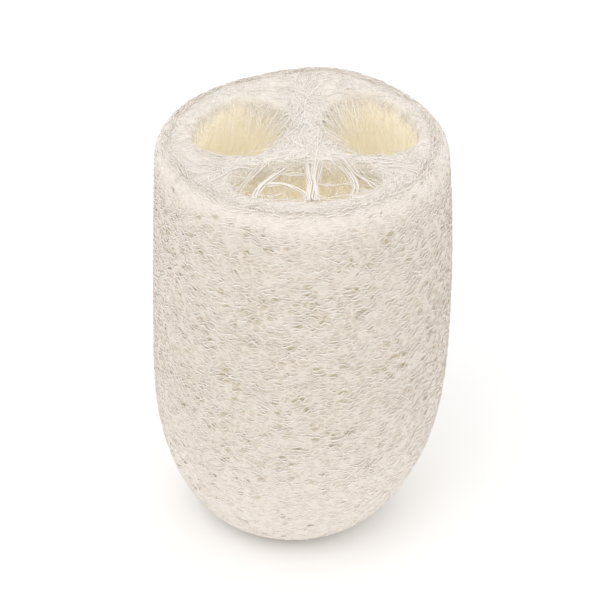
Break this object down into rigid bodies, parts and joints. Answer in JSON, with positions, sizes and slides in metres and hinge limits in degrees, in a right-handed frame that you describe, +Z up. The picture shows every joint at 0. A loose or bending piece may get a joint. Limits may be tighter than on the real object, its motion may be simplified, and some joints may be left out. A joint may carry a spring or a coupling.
{
  "type": "natural loofah sponge",
  "caption": "Dried fibre skeleton of a sponge gourd, cut across at one end: a netted oval wall around three open seed chambers, for scrubbing and bathing.",
  "frame": {"origin": "on the surface it stands on, under the middle of its box", "axes": "+Z up along the gourd from its trimmed tip to the cut end, -Y towards the front seed chamber, +X to its right"},
  "size_m": [0.0774, 0.0772, 0.1124],
  "materials": {
    "loofah_fibre": "matte"
  },
  "bodies": {
    "root": {"loofah_sponge": "loofah_fibre"}
  },
  "joints": []
}
